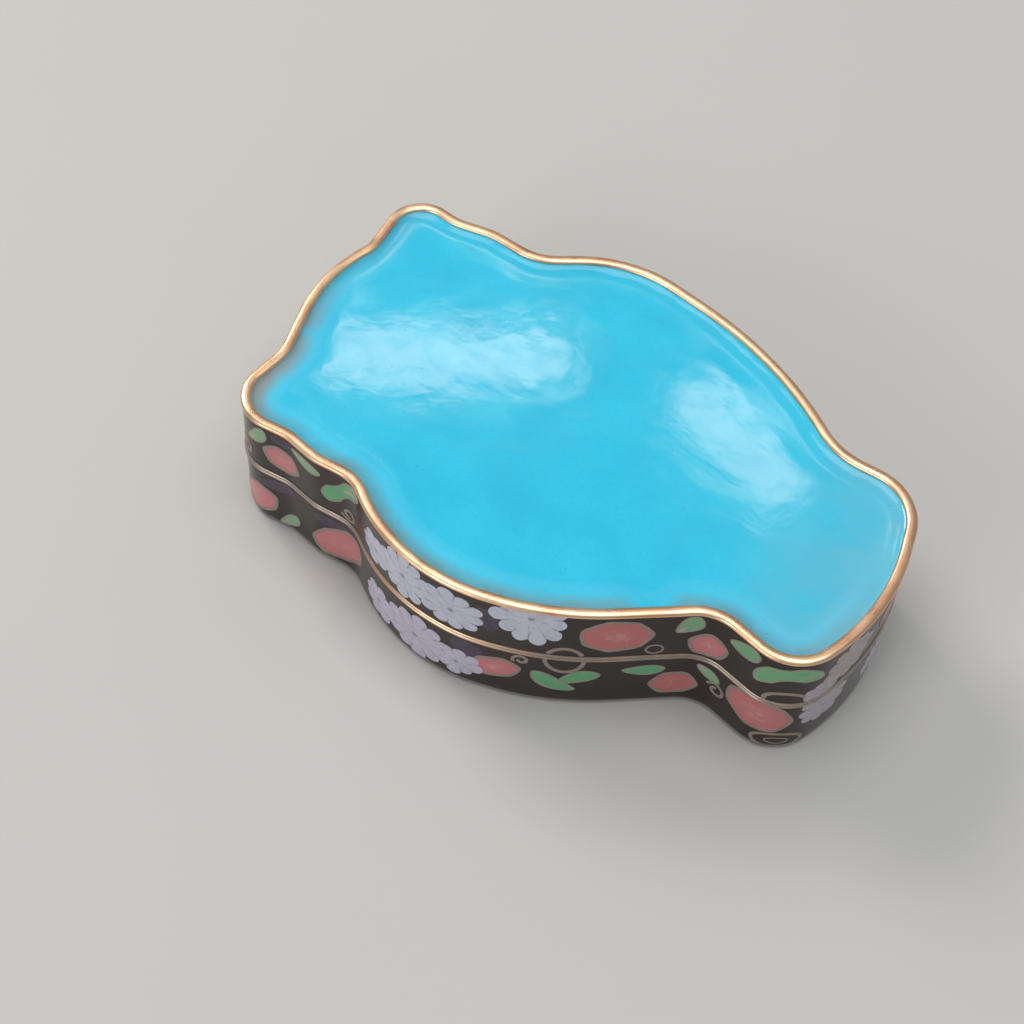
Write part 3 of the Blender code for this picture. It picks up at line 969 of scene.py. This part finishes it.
def outline_points(length, breadth):
    """How many points an outline of that size takes."""
    return max(20, ceil(pi * (length + breadth) / 2 / OUTLINE_STEP))


def flower_outline(length, breadth, corners):
    """A flower with blunt corners, about the origin."""
    count = outline_points(length, breadth)
    half = pi / corners
    outline = []
    for i in range(count):
        angle = 2 * pi * i / count
        corner = cos(half) / cos(angle % (2 * half) - half)
        swell = 0.36 + 0.65 * corner + 0.03 * cos(2 * angle + corners)
        outline.append((length / 2 * swell * cos(angle), breadth / 2 * swell * sin(angle)))
    return outline


def leaf_outline(length, breadth, bend, paleness):
    """A leaf along the first axis, with its tail at the low end. Also how cream each point is."""
    count = outline_points(length, breadth)
    outline = []
    nearness = []
    for i in range(count):
        angle = 2 * pi * i / count
        x = cos(angle)
        y = sin(angle) * (1 + 0.30 * x) * abs(sin(angle)) ** 0.25
        outline.append((length / 2 * x, breadth / 2 * y + bend * breadth * (x * x - 0.4)))
        nearness.append(max(0.0, -x) * paleness)
    return outline, nearness


def double_leaf_outline(length, breadth, bend, cream):
    """Two round lobes joined by a waist, along the first axis. Also how pale the high end is."""
    count = outline_points(length, breadth)
    outline = []
    paleness = []
    for i in range(count):
        angle = 2 * pi * i / count
        x = cos(angle)
        y = sin(angle) * abs(sin(angle)) ** -0.35 if abs(sin(angle)) > 0.001 else 0.0
        waist = 1 - 0.36 * max(0.0, 1 - (x / 0.45) ** 2)
        outline.append((length / 2 * x, breadth / 2 * y * waist + bend * breadth * (x * x - 0.4)))
        paleness.append(cream * max(0.0, x))
    return outline, paleness


def bloom_outline(reach, rise, petals, start):
    """A ring of petal tips about the origin. Also how near a crease between petals each point is."""
    count = petals * PETAL_POINTS
    outline = []
    creases = []
    for i in range(count):
        turn = i / count * petals
        crease = 1 - abs(sin(pi * turn)) ** 0.75
        petal = int(turn)
        long = 1 + 0.22 * (chance(petal + petals * reach / MM) - 0.5)
        angle = 2 * pi * i / count + start
        size = long * (1 - 0.20 * crease)
        outline.append((reach * size * cos(angle), rise * size * sin(angle)))
        creases.append(crease)
    return outline, creases


def in_metres(rows, lengths, angle=None):
    """Rows with their first few columns put into metres, and one column from degrees into radians."""
    made = []
    for row in rows:
        values = [value * MM for value in row[:lengths]] + list(row[lengths:])
        if angle is not None:
            values[angle] = radians(row[angle])
        made.append(values)
    return made


def hidden_groups():
    """The start and number of each group of motifs on the hidden sides."""
    return [(HIDDEN_START + HIDDEN_PITCH * i, i) for i in range(HIDDEN_GROUPS)]


def all_flowers(rows, height, offset):
    """The near side's flowers, then one in every other hidden group."""
    hidden = [
        (start + 4.0, height, 5.6, 4.4, 40 * chance(i) - 20, 6, chance(i + 9))
        for start, i in hidden_groups() if i % 2 == offset]
    return in_metres(list(rows) + hidden, 4, 4)


def all_leaves(rows, height, offset):
    """The near side's leaves, then a pair beside each hidden flower or bloom."""
    leaves = list(rows)
    for start, i in hidden_groups():
        turn = 24 + 20 * chance(i + offset)
        tone = 0.15 + 0.6 * chance(i + 3 + offset)
        leaves.append((start + 9.0, height + 1.4, 4.2, 1.8, turn, 0.2, tone))
        leaves.append((start + 9.4, height - 1.6, 3.8, 1.6, -turn, 0.2, tone))
    return in_metres(leaves, 4, 4)


def all_blooms(rows, height, offset):
    """The near side's chrysanthemums, then one in every other hidden group."""
    blooms = in_metres(rows, 4, 5)
    for start, i in hidden_groups():
        if i % 2 != offset:
            spot = in_metres([(start + 3.8, height, 3.7, 3.2)], 4)[0]
            blooms.append((*spot, 13, chance(i), 0.2 + 0.4 * offset))
    return blooms


# Each band's name, lowest and highest place for cells, middle height of its hidden motifs in
# millimetres, and which hidden groups have a flower and not a bloom
BANDS = (
    ("lid", LID_BAND_FOOT, RIM_UNDER, 14.4, 0),
    ("base", FOOT_DROP + 0.05 * MM, BASE_BAND_TOP, 4.9, 1),
)
ROWS = {
    "lid": (LID_FLOWERS, LID_LEAVES, LID_BLOOMS, LID_VIOLETS, LID_RINGS, LID_SCROLLS),
    "base": (BASE_FLOWERS, BASE_LEAVES, BASE_BLOOMS, BASE_VIOLETS, BASE_RINGS, BASE_SCROLLS),
}


def build_flowers(name, low, high, height, offset):
    cells = Cells(name + "_rose_cells", rose_enamel, low, high)
    wires = Cells(name + "_flower_wires", dull_wire, low, high)
    for along, up, length, breadth, turn, corners, tone in all_flowers(ROWS[name][0], height, offset):
        outline = [turned(point, (along, up), turn) for point in flower_outline(length, breadth, corners)]
        cells.cell(outline, (along, up), tone)
        wires.wire(grown(outline, sizes().flower_wire / 2), sizes().flower_wire, True)
    cells.finish()
    wires.finish()


def lay_leaf(cells, wires, row, flat, tips):
    """A leaf's cell and the wire round it, from its outline about the origin."""
    along, up, _, breadth, turn, bend, tone = row[:7]
    outline = [turned(point, (along, up), turn) for point in flat]
    middle = turned((0, -0.4 * bend * breadth), (along, up), turn)
    cells.cell(outline, middle, tone, 0, tips)
    wires.wire(grown(outline, sizes().wire_width / 2), sizes().wire_width, True)


def build_leaves(name, low, high, height, offset):
    cells = Cells(name + "_leaf_cells", leaf_enamel, low, high)
    wires = Cells(name + "_leaf_wires", dull_wire, low, high)
    for row in all_leaves(ROWS[name][1], height, offset):
        lay_leaf(cells, wires, row, *leaf_outline(row[2], row[3], row[5], min(1.0, 0.5 + row[6])))
    for row in in_metres(LID_DOUBLE_LEAVES, 4, 4) if name == "lid" else ():
        lay_leaf(cells, wires, row, *double_leaf_outline(row[2], row[3], row[5], row[7]))
    cells.finish()
    wires.finish()


def build_blooms(name, low, high, height, offset):
    cells = Cells(name + "_petal_cells", petal_enamel, low, high)
    wires = Cells(name + "_petal_wires", dull_wire, low, high)
    for number, row in enumerate(all_blooms(ROWS[name][2], height, offset)):
        along, up, reach, rise, petals, start, tone = row
        layer = 2 * (number % 3)
        outer = bloom_outline(reach, rise, petals, start)
        inner = bloom_outline(reach * 0.60, rise * 0.60, petals - 2, start + 0.3)
        for above, (flat, creases) in enumerate((outer, inner)):
            outline = [turned(point, (along, up), 0) for point in flat]
            cells.cell(outline, (along, up), tone, layer + above, creases)
        for petal in range(petals):
            angle = 2 * pi * petal / petals + start
            ray = Vector((reach * cos(angle), rise * sin(angle)))
            path = [Vector((along, up)) + ray * (0.62 + 0.16 * k / 2) for k in range(3)]
            wires.wire(path, sizes().wire_width * 0.6, False, layer)
    cells.finish()
    wires.finish()


def build_violets(name, low, high):
    cells = Cells(name + "_violet_cells", violet_enamel, low, high)
    for along, up, length, breadth, turn in in_metres(ROWS[name][3], 4, 4):
        flat = flower_outline(length, breadth, VIOLET_CORNERS)
        cells.cell([turned(point, (along, up), turn) for point in flat], (along, up), 0.0, -1)
    cells.finish()


def ring_path(along, up, reach, rise):
    count = outline_points(2 * reach, 2 * rise)
    angles = [2 * pi * i / count for i in range(count)]
    return [(along + reach * cos(angle), up + rise * sin(angle)) for angle in angles]


def part_on_band(path, low, high):
    """The unbroken part of a closed path that lies between two heights."""
    inside = [low <= point[1] <= high for point in path]
    if all(inside):
        return path, True
    start = next(i for i in range(len(path)) if inside[i] and not inside[i - 1])
    ordered = path[start:] + path[:start]
    end = next(i for i, point in enumerate(ordered) if not low <= point[1] <= high)
    return ordered[:end], False


def scroll_path(along, up, reach, start, turns):
    """A spiral that winds in to its eye."""
    count = ceil(abs(turns) * 2 * pi * reach * 0.7 / OUTLINE_STEP)
    path = []
    for i in range(count + 1):
        angle = start + 2 * pi * turns * i / count
        size = reach * (1 - 0.72 * i / count)
        path.append((along + size * cos(angle), up + size * sin(angle)))
    return path


def build_scrolls(name, low, high, height):
    wires = Cells(name + "_scroll_wires", dull_wire, low, high)
    width = sizes().scroll_wire
    hidden = [(start + 12.3, height + 1.5 - 3 * chance(i + 5), 1.1, 1.0) for start, i in hidden_groups()]
    for row in in_metres(list(ROWS[name][4]) + hidden, 4):
        path, closed = part_on_band(ring_path(*row), low, high)
        wires.wire(path, min(width, 0.3 * row[3]), closed)
    for row in in_metres(ROWS[name][5], 3, 3):
        wires.wire(scroll_path(*row), width * 0.8, False)
    if name == "base":
        foot = [(WALL_LENGTH * i / LOOP_POINTS, FOOT_DROP + FOOT_WIRE) for i in range(LOOP_POINTS + 1)]
        wires.wire(foot, width * 0.6, False)
    wires.finish()


def camera_matrix():
    """The camera's place and turn, from its angles about the point that it looks at."""
    level = cos(CAMERA_RAISE)
    forward = Vector((-sin(CAMERA_TURN) * level, cos(CAMERA_TURN) * level, -sin(CAMERA_RAISE)))
    right = Vector((cos(CAMERA_TURN), sin(CAMERA_TURN), 0.0))
    up = right.cross(forward)
    across = right * cos(CAMERA_ROLL) + up * sin(CAMERA_ROLL)
    upward = up * cos(CAMERA_ROLL) - right * sin(CAMERA_ROLL)
    turn = Matrix((across, upward, -forward)).transposed().to_4x4()
    return Matrix.Translation(CAMERA_AIM - forward * CAMERA_DISTANCE) @ turn


def lamp(name, place, turn, long, short, power, tint):
    """A rectangular lamp, turned by a matrix from facing down."""
    light = bpy.data.lights.new(name, "AREA")
    light.shape = "RECTANGLE"
    light.size = long
    light.size_y = short
    light.energy = power
    light.color = tint
    lamp_object = bpy.data.objects.new(name, light)
    lamp_object.matrix_world = Matrix.Translation(place) @ turn
    bpy.context.scene.collection.objects.link(lamp_object)


def area_light(name, place, aim, long, short, power, tint):
    """A lamp that faces a point."""
    facing = (Vector(aim) - Vector(place)).to_track_quat("-Z", "Y").to_matrix().to_4x4()
    lamp(name, place, facing, long, short, power, tint)


def window_light(name, place, long, short, degrees, brightness):
    """A warm lamp that lies level overhead, where the top mirrors it to the camera."""
    turn = Matrix.Rotation(radians(degrees), 4, "Z")
    lamp(name, place, turn, long, short, brightness * pi * long * short, WINDOW_TINT)


class ENAMELBOX_OT_shells(bpy.types.Operator):
    """Build the gilt copper of the lid and the base"""

    bl_idname = "enamelbox.shells"
    bl_label = "Gilt copper"

    def execute(self, context):
        build_lid_shell()
        build_base_shell()
        return {"FINISHED"}


class ENAMELBOX_OT_turquoise(bpy.types.Operator):
    """Build the turquoise enamel of the top, the underside and the inside"""

    bl_idname = "enamelbox.turquoise"
    bl_label = "Turquoise enamel"

    def execute(self, context):
        build_lid_field()
        build_base_panel()
        build_lining("lid_inner_enamel", "lid_lining", LID_LINING_HIGH.z, LID_LINING_LOW.z, 1)
        build_lining("base_inner_enamel", "base_lining", BASE_LINING_LOW.z, BASE_LINING_HIGH.z, -1)
        return {"FINISHED"}


class ENAMELBOX_OT_bands(bpy.types.Operator):
    """Build the dark enamel ground of both bands"""

    bl_idname = "enamelbox.bands"
    bl_label = "Dark bands"

    def execute(self, context):
        build_bands()
        return {"FINISHED"}


class ENAMELBOX_OT_flowers(bpy.types.Operator):
    """Lay the rose cells and their wires into both bands"""

    bl_idname = "enamelbox.flowers"
    bl_label = "Flowers"

    def execute(self, context):
        for band in BANDS:
            build_flowers(*band)
        return {"FINISHED"}


class ENAMELBOX_OT_leaves(bpy.types.Operator):
    """Lay the leaf cells and their wires into both bands"""

    bl_idname = "enamelbox.leaves"
    bl_label = "Leaves"

    def execute(self, context):
        for band in BANDS:
            build_leaves(*band)
        return {"FINISHED"}


class ENAMELBOX_OT_blooms(bpy.types.Operator):
    """Lay the white chrysanthemums and the violet cells into both bands"""

    bl_idname = "enamelbox.blooms"
    bl_label = "Chrysanthemums"

    def execute(self, context):
        for band in BANDS:
            build_blooms(*band)
            build_violets(*band[:3])
        return {"FINISHED"}


class ENAMELBOX_OT_scrolls(bpy.types.Operator):
    """Lay the wire rings and scrolls into both bands"""

    bl_idname = "enamelbox.scrolls"
    bl_label = "Rings and scrolls"

    def execute(self, context):
        for band in BANDS:
            build_scrolls(*band[:4])
        return {"FINISHED"}


class ENAMELBOX_OT_stage(bpy.types.Operator):
    """Set the floor, the lights and the camera"""

    bl_idname = "enamelbox.stage"
    bl_label = "Stage"

    def execute(self, context):
        bm = bmesh.new()
        bmesh.ops.create_grid(bm, x_segments=8, y_segments=8, size=FLOOR_SIZE / 2)
        mesh = bpy.data.meshes.new("floor")
        bm.to_mesh(mesh)
        bm.free()
        mesh.materials.append(material_named(pale_floor))
        floor = bpy.data.objects.new("floor", mesh)
        context.scene.collection.objects.link(floor)

        camera_data = bpy.data.cameras.new("camera")
        camera_data.sensor_width = SENSOR_MM
        camera_data.lens = SENSOR_MM * FOCAL_PIXELS / FRAME_PIXELS
        camera_data.clip_start = 0.01
        camera = bpy.data.objects.new("camera", camera_data)
        camera.matrix_world = camera_matrix()
        context.scene.collection.objects.link(camera)
        context.scene.camera = camera

        world = bpy.data.worlds.new("studio")
        world.use_nodes = True
        background = world.node_tree.nodes["Background"]
        background.inputs["Color"].default_value = (0.86, 0.93, 1.0, 1.0)
        background.inputs["Strength"].default_value = 0.35
        context.scene.world = world
        context.scene.view_settings.view_transform = "Standard"
        area_light("key", (-0.95, 0.25, 0.75), (0, 0, 0), 0.5, 0.4, 7.0, (1.0, 0.95, 0.88))
        area_light("overhead", (0.05, 0.0, 0.95), (0.05, 0.0, 0), 0.9, 0.6, 4.6, (0.96, 0.98, 1.0))
        area_light("front", (-0.30, -1.00, 0.60), (0, 0, 0), 0.5, 0.4, 3.0, (1.0, 1.0, 1.0))
        window_light("window_long", (-0.388, 0.608, 0.9), 0.172, 0.048, 31, 8.0)
        window_light("window_short", (-0.187, 0.655, 0.9), 0.112, 0.050, -23, 6.6)
        return {"FINISHED"}


class ENAMELBOX_PT_panel(bpy.types.Panel):
    """Lists the sizes, the colours and the steps of the box"""

    bl_label = "Enamel Box"
    bl_idname = "ENAMELBOX_PT_panel"
    bl_space_type = "VIEW_3D"
    bl_region_type = "UI"
    bl_category = "Enamel Box"

    def draw(self, context):
        layout = self.layout
        for group, owner in ((BoxSizes, sizes()), (BoxColours, colours())):
            box = layout.box()
            for name in group.__annotations__:
                box.prop(owner, name)
        for operator in STEPS:
            layout.operator(operator.bl_idname)


STEPS = (
    ENAMELBOX_OT_shells,
    ENAMELBOX_OT_turquoise,
    ENAMELBOX_OT_bands,
    ENAMELBOX_OT_flowers,
    ENAMELBOX_OT_leaves,
    ENAMELBOX_OT_blooms,
    ENAMELBOX_OT_scrolls,
    ENAMELBOX_OT_stage,
)
CLASSES = (BoxSizes, BoxColours) + STEPS + (ENAMELBOX_PT_panel,)


def register():
    for item in CLASSES:
        bpy.utils.register_class(item)
    bpy.types.Scene.enamel_box_sizes = PointerProperty(type=BoxSizes)
    bpy.types.Scene.enamel_box_colours = PointerProperty(type=BoxColours)


def unregister():
    del bpy.types.Scene.enamel_box_colours
    del bpy.types.Scene.enamel_box_sizes
    for item in reversed(CLASSES):
        bpy.utils.unregister_class(item)


def main():
    register()
    bpy.ops.enamelbox.shells()
    bpy.ops.enamelbox.turquoise()
    bpy.ops.enamelbox.bands()
    bpy.ops.enamelbox.flowers()
    bpy.ops.enamelbox.leaves()
    bpy.ops.enamelbox.blooms()
    bpy.ops.enamelbox.scrolls()
    bpy.ops.enamelbox.stage()


if __name__ == "__main__":
    main()
